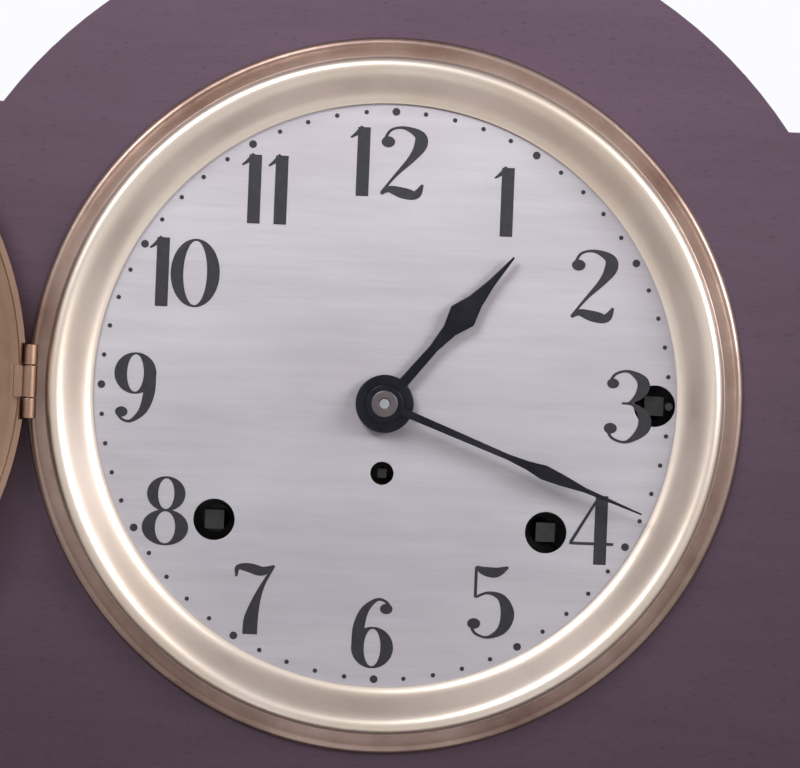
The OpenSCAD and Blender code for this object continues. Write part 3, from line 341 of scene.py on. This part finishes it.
def smooth_path(points, per_span=6):
    """Catmull-Rom points through (x, y, width) stations."""
    path = []
    for i in range(len(points) - 1):
        a, b, c, d = points[max(i - 1, 0)], points[i], points[i + 1], points[min(i + 2, len(points) - 1)]
        for step in range(per_span):
            t = step / per_span
            path.append([0.5 * (2 * q + (r - p) * t + (2 * p - 5 * q + 4 * r - s) * t * t
                                + (3 * q - p - 3 * r + s) * t ** 3) for p, q, r, s in zip(a, b, c, d)])
    return path + [list(points[-1])]


def pen_stroke(points, curved=True):
    """The outline of one stroke of a broad pen, whose width changes along it."""
    path = smooth_path(points) if curved else [list(p) for p in points]
    left, right = [], []
    for i, (x, y, width) in enumerate(path):
        before, after = path[max(i - 1, 0)], path[min(i + 1, len(path) - 1)]
        along = Vector((after[0] - before[0], after[1] - before[1])).normalized()
        across = Vector((-along.y, along.x)) * max(width, least_line) / 2
        left.append((x + across.x, y + across.y))
        right.append((x - across.x, y - across.y))
    return [left + right[::-1]]


def round_spot(x, y, r, sides=20):
    """A filled dot, such as the ball at the end of a numeral's stroke."""
    return [[(x + r * math.cos(2 * math.pi * k / sides), y + r * math.sin(2 * math.pi * k / sides))
             for k in range(sides)]]


def bowl(x, y, rx, ry, heavy=heavy_line, sides=48):
    """A closed loop, heavy at its sides and fine at its head and foot: an oval with an oval hole."""
    turns = [2 * math.pi * k / sides for k in range(sides)]
    return [[(x + (rx + sign * heavy / 2) * math.cos(a), y + (ry + sign * hair_line / 2) * math.sin(a))
             for a in turns] for sign in (1, -1)]


def stem(x):
    """An upright heavy stroke from the numeral's foot to its top."""
    return pen_stroke([(x, half_height, heavy_line), (x, -half_height, heavy_line)], False)


def widened(digit):
    return [[[(x * numeral_widening, y) for x, y in loop] for loop in shape] for shape in digit]


def turned_round(digit):
    return [[[(-x, -y) for x, y in loop] for loop in shape] for shape in digit]


six = [round_spot(2.5, 6.0, 1.25), bowl(0.0, -3.4, 2.9, 4.75),
       pen_stroke([(-2.9, -3.6, 2.4), (-2.8, 1.4, 2.3), (-1.7, 5.6, 1.7), (0.5, 8.1, 0.8), (2.2, 7.9, 0.6),
                   (3.2, 6.6, 0.6)])]
numeral = {
    "0": [bowl(0.0, 0.0, 3.6, 8.0)],
    "1": [stem(0.4), pen_stroke([(-2.2, 5.7, 0.4), (-0.9, 6.9, 0.9), (0.2, 8.4, 1.1)])],
    "2": [round_spot(-2.9, 5.0, 1.35),
          pen_stroke([(-3.6, 5.6, 0.6), (-2.4, 7.9, 0.6), (0.2, 8.5, 0.8), (3.2, 6.9, 2.2), (3.5, 4.4, 2.6),
                      (1.9, 1.2, 1.6), (-1.2, -3.0, 0.7), (-3.9, -7.2, 0.5)]),
          pen_stroke([(-4.0, -7.6, 0.6), (-2.4, -6.4, 1.6), (0.4, -7.2, 2.6), (2.9, -7.5, 2.0),
                      (4.2, -5.0, 0.5)])],
    "3": [round_spot(-2.8, 5.5, 1.2),
          pen_stroke([(-3.3, 6.1, 0.6), (-2.2, 7.9, 0.6), (0.3, 8.5, 0.8), (3.0, 6.4, 2.3), (2.9, 3.6, 2.2),
                      (0.8, 1.1, 0.7), (-0.9, 0.8, 0.5)]),
          pen_stroke([(-0.9, 0.8, 0.5), (1.4, 0.5, 0.8), (3.5, -2.0, 2.3), (3.4, -5.4, 2.5), (0.4, -8.4, 0.8),
                      (-2.4, -7.8, 0.6), (-3.5, -6.0, 0.6)]),
          round_spot(-3.0, -5.3, 1.3)],
    "4": [stem(1.6), pen_stroke([(1.2, 8.4, 0.5), (-4.2, -3.0, 0.7)], False),
          pen_stroke([(-4.5, -3.3, 0.7), (4.2, -3.3, 0.7)], False)],
    "5": [pen_stroke([(-2.9, 8.5, 0.5), (-1.4, 7.5, 2.0), (1.0, 7.2, 2.4), (3.4, 8.6, 0.5)]),
          pen_stroke([(-2.9, 8.4, 0.6), (-2.9, 1.0, 0.6)], False),
          pen_stroke([(-2.9, 1.0, 0.6), (-0.4, 2.2, 0.7), (2.4, 1.0, 1.8), (3.6, -2.8, 2.7), (2.6, -6.6, 2.0),
                      (-0.2, -8.5, 0.7), (-2.6, -7.7, 0.6), (-3.5, -6.0, 0.6)]),
          round_spot(-3.0, -5.3, 1.3)],
    "6": six,
    "7": [pen_stroke([(-3.7, 5.4, 0.4), (-3.4, 7.6, 1.2), (-1.2, 7.6, 2.2), (1.4, 6.9, 2.2), (3.8, 8.3, 0.5)]),
          pen_stroke([(3.7, 8.2, 0.5), (1.6, 3.6, 0.9), (0.3, -0.6, 1.8), (-0.5, -4.8, 2.8),
                      (-0.6, -8.4, 2.9)])],
    "8": [bowl(0.0, 4.1, 2.7, 3.95, 2.2), bowl(0.0, -4.0, 3.3, 4.1, 2.6)],
    "9": turned_round(six),
}
digit_places = {10: (-6.0, 2.4), 11: (-5.0, 1.4), 12: (-7.3, 2.6)}
numeral_radius = {1: 55.5, 2: 57.3, 3: 58.9, 4: 60.0, 5: 55.8, 6: 57.0, 7: 57.7, 8: 58.9, 9: 59.6, 10: 56.1,
                  11: 56.4, 12: 56.5}
print_shift = (-0.7, -0.4)
outlines = []
for hour, radius in numeral_radius.items():
    angle = math.radians(hour * 30)
    cx, cz = radius * math.sin(angle) + print_shift[0], radius * math.cos(angle) + print_shift[1]
    for place, digit in zip(digit_places.get(hour, (0.0,)), str(hour)):
        for shape in widened(numeral[digit]):
            outlines.append([[(cx + place + x, cz + y) for x, y in loop] for loop in shape])
track_radius, hour_dot, minute_dot, dot_sides = 68.4, 0.95, 0.55, 14
for minute in range(60):
    angle = math.radians(minute * 6)
    dot = hour_dot if minute % 5 == 0 else minute_dot
    outlines.append(round_spot(track_radius * math.sin(angle), track_radius * math.cos(angle), dot, dot_sides))
dial_face = Vector((ring_centre.x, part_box("dial_plate")[0][1], ring_centre.z))
coat_thickness = 0.06 * MM


def printed(name, shapes, finish, body):
    """Flat filled outlines on the dial, in coats of slightly different thickness so that none lie flush."""
    upright = Matrix.Translation(dial_face) @ Matrix.Rotation(math.radians(90), 4, "X")
    mesh_parts = []
    for number, shape in enumerate(shapes):
        outline = bpy.data.curves.new(name, "CURVE")
        outline.dimensions = "2D"
        outline.fill_mode = "BOTH"
        outline.extrude = coat_thickness * (0.9 + 0.02 * (number % 5))
        for loop in shape:
            line = outline.splines.new("POLY")
            line.points.add(len(loop) - 1)
            for point, (x, z) in zip(line.points, loop):
                point.co = (x * MM, z * MM, 0.0, 1.0)
            line.use_cyclic_u = True
        part = bpy.data.objects.new(f"{name}_{number}", outline)
        part.matrix_world = upright
        bpy.context.collection.objects.link(part)
        mesh_parts.append(part)
    bpy.ops.object.select_all(action="DESELECT")
    for part in mesh_parts:
        part.select_set(True)
    bpy.context.view_layer.objects.active = mesh_parts[0]
    bpy.ops.object.convert(target="MESH")
    bpy.ops.object.join()
    piece = bpy.context.object
    piece.name = name
    bpy.ops.object.transform_apply(location=True, rotation=True, scale=True)
    dress(piece, finish, body)


printed("printed_chapter", outlines, printed_black, "case")

# Hands: sawn from sheet steel, filed to long swelling points, and blued almost black. The hour hand is
# pressed on the hour pipe, the minute hand on the cannon pipe, and a small brass nut holds both.
blued_steel = metal("blued_steel", (0.02, 0.021, 0.028, 1.0), (0.035, 0.034, 0.042, 1.0), 0.28, 0.42,
                    size=90.0)
shaped_copy("hour_hand", blued_steel, bevel=0.22 * MM)
shaped_copy("minute_hand", blued_steel, bevel=0.22 * MM)
dull_brass = metal("dull_brass", (0.17, 0.145, 0.15, 1.0), (0.1, 0.085, 0.09, 1.0), 0.35, 0.55, size=90.0)
shaped_copy("hand_nut", dull_brass, bevel=0.3 * MM)

# Glazed door: a drawn brass rim with a rolled edge, a flat pull at its side and a knuckle brazed on. It hangs
# on a small butt hinge at the left of the surround. Its brass colour, also used for the glass bead, is darkened
# as painted shade.
# Painted shade: the door's brass is coloured darker and browner than the surround, standing in for the shade on
# the rim.
door_brass_painted_shade = metal("door_brass_painted_shade", (0.4, 0.26, 0.19, 1.0), (0.24, 0.145, 0.1, 1.0), 0.32, 0.48, size=30.0)
shaped_copy("bezel_ring", door_brass_painted_shade, bevel=0.25 * MM, angle=30.0)
shaped_copy("bezel_hinge", door_brass_painted_shade, bevel=0.15 * MM)

# Door glass: a round of clear glass, bent to a low dome, and the brass bead that holds it in the rim. Both are
# spun as on the shut door and then swung open with it. Shadow rays see the glass as thin, so its shadow is faint.
clear_glass, tree, shader = new_finish("clear_glass", transmission_weight=1.0, ior=1.45,
                                       base_color=(0.96, 0.98, 0.98, 1.0))
dust = add_node(tree, "TexNoise", {"Vector": stretched(tree), "Scale": 60.0, "Detail": 4.0})
smear = add_node(tree, "MapRange", {"Value": dust.outputs["Fac"], "From Min": 0.5, "To Min": 0.0,
                                    "To Max": 0.012})
tree.links.new(smear.outputs["Result"], shader.inputs["Roughness"])
shadow_ray = add_node(tree, "LightPath").outputs["Is Shadow Ray"]
solid = add_node(tree, "MapRange", {"Value": shadow_ray, "To Min": 1.0, "To Max": 0.35})
tree.links.new(solid.outputs["Result"], shader.inputs["Alpha"])
door_joint = next(joint for joint in frame["joints"] if joint["name"] == "bezel_swing")
hinge = Matrix.Translation(door_joint["pos_m"])
opening = max(abs(limit) for limit in door_joint["range_deg"])
swung = hinge @ Matrix.Rotation(math.radians(-opening), 4, "Z") @ hinge.inverted()
glass_radius, glass_edge, glass_rise, glass_thick = 74.4, 7.1, 5.0, 1.5
dome = (glass_radius ** 2 + glass_rise ** 2) / (2 * glass_rise)
dome_centre = glass_edge + glass_rise - dome
steps = [glass_radius * k / 12 for k in range(13)]
outside = [(r, dome_centre + math.sqrt(dome ** 2 - r * r)) for r in steps]
inside = [(r, dome_centre + math.sqrt((dome - glass_thick) ** 2 - r * r)) for r in steps]
spun_ring("door_glass", outside + inside[::-1], clear_glass, "bezel_door", "bezel_glass", closed=False,
          swing=swung)
bead_section = [(-1.6, 5.4), (-1.55, 4.95), (-1.2, 4.65), (-0.6, 4.55), (0.0, 4.6), (0.35, 4.9), (0.35, 5.45),
                (-0.6, 5.45)]
spun_ring("glass_bead", [(glass_radius + out, height) for out, height in bead_section], door_brass_painted_shade,
          "bezel_door", "glass_retainer", swing=swung)

# Movement frame: two rectangular plates of hard rolled brass, grained lengthways, kept apart by turned
# pillars with steel nuts, and hung on the front board by four steel straps and screws.
plate_brass = metal("plate_brass", (0.75, 0.6, 0.32, 1.0), (0.6, 0.46, 0.23, 1.0), 0.3, 0.42, size=18.0,
                    stretch=(0.15, 1.0, 1.0), depth=0.2)
bright_steel = metal("bright_steel", (0.56, 0.57, 0.58, 1.0), (0.42, 0.42, 0.43, 1.0), 0.26, 0.4, size=80.0)
for node in ("front_plate", "back_plate", "hammer_frame", "suspension_cock"):
    shaped_copy(node, plate_brass, bevel=0.2 * MM)
turned_brass = metal("turned_brass", (0.78, 0.6, 0.3, 1.0), (0.62, 0.46, 0.22, 1.0), 0.2, 0.34, size=60.0)
shaped_copy("pillars", turned_brass, bevel=0.3 * MM)
for node in ("movement_straps", "fasteners"):
    shaped_copy(node, bright_steel, bevel=0.2 * MM)

# Wheels: cast brass blanks, crossed out and cut, driven on arbors of hardened steel with cut pinions. The
# part of each node that lies in the wheel's own thickness is brass, and the rest of it is steel.
cut_brass = metal("cut_brass", (0.8, 0.63, 0.32, 1.0), (0.66, 0.5, 0.25, 1.0), 0.22, 0.36, size=50.0,
                  depth=0.1)
hard_steel = metal("hard_steel", (0.5, 0.51, 0.53, 1.0), (0.38, 0.38, 0.4, 1.0), 0.2, 0.34, size=90.0)
wheel_angle = 28.0
face_slack = 0.01


def on_arbor(node, brass_from, brass_to):
    """A wheel on its arbor, brass between the two depths (mm, from front to back) and steel elsewhere."""
    piece = shaped_copy(node, cut_brass, angle=wheel_angle)
    piece.data.materials.append(hard_steel)
    for face in piece.data.polygons:
        middle = face.center.y / MM
        face.material_index = 0 if brass_from - face_slack <= middle <= brass_to + face_slack else 1


inner_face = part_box("front_plate")[1][1] / MM
wheel_places = (("time_second_wheel", 20, 1.5), ("centre_wheel", 26, 1.2), ("third_wheel", 31, 1.2),
                ("escape_wheel", 14, 1.2), ("strike_second_wheel", 20, 1.5), ("chime_second_wheel", 8, 1.5))
for node, gap, thickness in wheel_places:
    on_arbor(node, inner_face + gap, inner_face + gap + thickness)
drum_front, drum_back = 6.0, 44.0
on_arbor("chime_drum", drum_front, drum_back)
for node in ("time_barrel", "strike_barrel", "chime_barrel", "cannon_pinion", "minute_wheel", "hour_wheel"):
    shaped_copy(node, cut_brass, angle=wheel_angle)
for node in ("verge", "strike_fly"):
    shaped_copy(node, hard_steel, angle=wheel_angle)

# Winding and regulating arbors: squared steel ends, dark with old oil, that show in the dial's key holes. The
# mainsprings are wound from blued steel strip and lie in the barrels.
oiled_steel = metal("oiled_steel", (0.05, 0.05, 0.052, 1.0), (0.03, 0.03, 0.03, 1.0), 0.4, 0.6, size=150.0,
                    metallic=0.8)
for node in ("time_arbor", "strike_arbor", "chime_arbor", "regulator_arbor"):
    shaped_copy(node, oiled_steel, angle=wheel_angle)
spring_blue = metal("spring_blue", (0.2, 0.23, 0.3, 1.0), (0.3, 0.28, 0.26, 1.0), 0.25, 0.4, size=90.0)
for node in ("time_mainspring", "strike_mainspring", "chime_mainspring"):
    shaped_copy(node, spring_blue)

# Pendulum: a steel rod on a flat spring strip, with a lens of polished brass and a milled nut to set it.
shaped_copy("pendulum_rod", hard_steel)
shaped_copy("pendulum_bob", turned_brass, angle=20.0)
shaped_copy("rating_nut", turned_brass, bevel=0.2 * MM)

# Hammers and rods: brass hammers strike five hard steel rods, which are screwed into a block of cast iron.
for number in range(1, 5):
    shaped_copy(f"chime_hammer_{number}", turned_brass, bevel=0.2 * MM)
hammer_front, hammer_back = 44.0, 54.1
on_arbor("strike_hammer", hammer_front, hammer_back)
shaped_copy("chime_rods", bright_steel)
cast_iron = metal("cast_iron", (0.03, 0.03, 0.032, 1.0), (0.05, 0.048, 0.046, 1.0), 0.5, 0.7, size=120.0,
                  depth=0.5, metallic=0.6)
shaped_copy("rod_block", cast_iron, bevel=0.8 * MM)

# Back: a plain board of stained wood with an arched door, drilled to let the sound out, on two brass hinges
# and with a brass turn button.
back_wood = mahogany("back_wood", (0.08, 0.048, 0.042, 1.0), (0.19, 0.115, 0.095, 1.0),
                     grain=(7.0, 7.0, 1.0), gloss=0.1)
shaped_copy("back_panel", back_wood, bevel=0.4 * MM)
shaped_copy("back_door", back_wood, bevel=0.5 * MM)
worn_brass = metal("worn_brass", (0.5, 0.4, 0.27, 1.0), (0.33, 0.26, 0.18, 1.0), 0.3, 0.5, size=60.0)
for node in ("back_hinges", "back_door_leaves", "back_latch"):
    shaped_copy(node, worn_brass, bevel=0.15 * MM)

# Stage: a pale floor under a white room, two soft lamps above the left and right, and the camera close before
# the dial, turned a little about its line of sight.
bpy.ops.object.select_all(action="DESELECT")
bpy.ops.mesh.primitive_plane_add(size=8.0, location=(0.0, 0.0, 0.0))
floor = bpy.context.object
floor.name = "floor"
bpy.ops.object.transform_apply(location=True, rotation=True, scale=True)
pale_floor, tree, shader = new_finish("pale_floor", roughness=0.7, specular_ior_level=0.2,
                                      emission_color=(1.0, 0.98, 0.95, 1.0))
speckle = add_node(tree, "TexNoise", {"Vector": stretched(tree), "Scale": 4.0})
pale = two_tones(tree, speckle.outputs["Fac"], (0.8, 0.8, 0.81, 1.0), (0.84, 0.84, 0.84, 1.0))
tree.links.new(pale, shader.inputs["Base Color"])


def by_ray(tree, lighting, mirrored, seen):
    """A strength for the rays that light the scene, those that metal mirrors, and those that the camera sees.

    A ray that glass bends counts as glossy too, so the last mix, for what is seen, overrides the first."""
    rays = add_node(tree, "LightPath")
    seeing = add_node(tree, "Math", {0: rays.outputs["Is Camera Ray"], 1: rays.outputs["Is Transmission Ray"]},
                      operation="MAXIMUM")
    level = add_node(tree, "Mix", {"Factor": rays.outputs["Is Glossy Ray"], "A": lighting, "B": mirrored},
                     data_type="FLOAT")
    level = add_node(tree, "Mix", {"Factor": seeing.outputs[0], "A": level.outputs[0], "B": seen},
                     data_type="FLOAT")
    return level.outputs[0]


tree.links.new(by_ray(tree, 0.0, 0.62, 0.5), shader.inputs["Emission Strength"])
floor.data.materials.append(pale_floor)

world = bpy.data.worlds.new("white_room")
bpy.context.scene.world = world
world.use_nodes = True
tree = world.node_tree
room = tree.nodes["Background"]
ray_way = add_node(tree, "TexCoord").outputs["Generated"]
brighter_way, mean_glow = (0.1, 0.0, -0.4), 0.85
glow = add_node(tree, "VectorMath", {0: ray_way, 1: brighter_way}, operation="DOT_PRODUCT")
glow = add_node(tree, "Math", {0: glow.outputs["Value"], 1: mean_glow}, operation="ADD")
room.inputs["Color"].default_value = (0.97, 0.97, 1.0, 1.0)
tree.links.new(by_ray(tree, 0.09, glow.outputs[0], 1.0), room.inputs["Strength"])


def soft_lamp(name, place, target, power, size=0.32, spread=56):
    data = bpy.data.lights.new(name, "AREA")
    data.shape = "RECTANGLE"
    data.size = data.size_y = size
    data.energy = power
    data.spread = math.radians(spread)
    lamp = bpy.data.objects.new(name, data)
    lamp.location = place
    lamp.rotation_euler = (Vector(target) - Vector(place)).to_track_quat("-Z", "Y").to_euler()
    bpy.context.collection.objects.link(lamp)


soft_lamp("lamp_left", (-0.27, -0.5, 0.62), (-0.02, -0.07, 0.355), 0.56)
soft_lamp("lamp_right", (0.55, -0.46, 0.46), (0.02, -0.07, 0.33), 0.6)

picture_px = (800.0, 768.0)
ring_centre_px = (385.0, 395.5)
px = 0.2401 * MM
roll = math.radians(2.3)
distance = 0.75
lip_height = 1.6 * MM
right = Vector((math.cos(roll), 0.0, math.sin(roll)))
upward = Vector((-math.sin(roll), 0.0, math.cos(roll)))
aim = ring_centre + right * (picture_px[0] / 2 - ring_centre_px[0]) * px
aim -= upward * (picture_px[1] / 2 - ring_centre_px[1]) * px
camera_data = bpy.data.cameras.new("camera")
camera_data.sensor_width = 36.0
camera_data.lens = camera_data.sensor_width * distance / (picture_px[0] * px)
camera = bpy.data.objects.new("camera", camera_data)
camera.location = (aim.x, wood_front - lip_height - distance, aim.z)
camera.rotation_euler = (math.radians(90), -roll, 0.0)
bpy.context.collection.objects.link(camera)
bpy.context.scene.camera = camera
bpy.context.scene.view_settings.view_transform = "Standard"
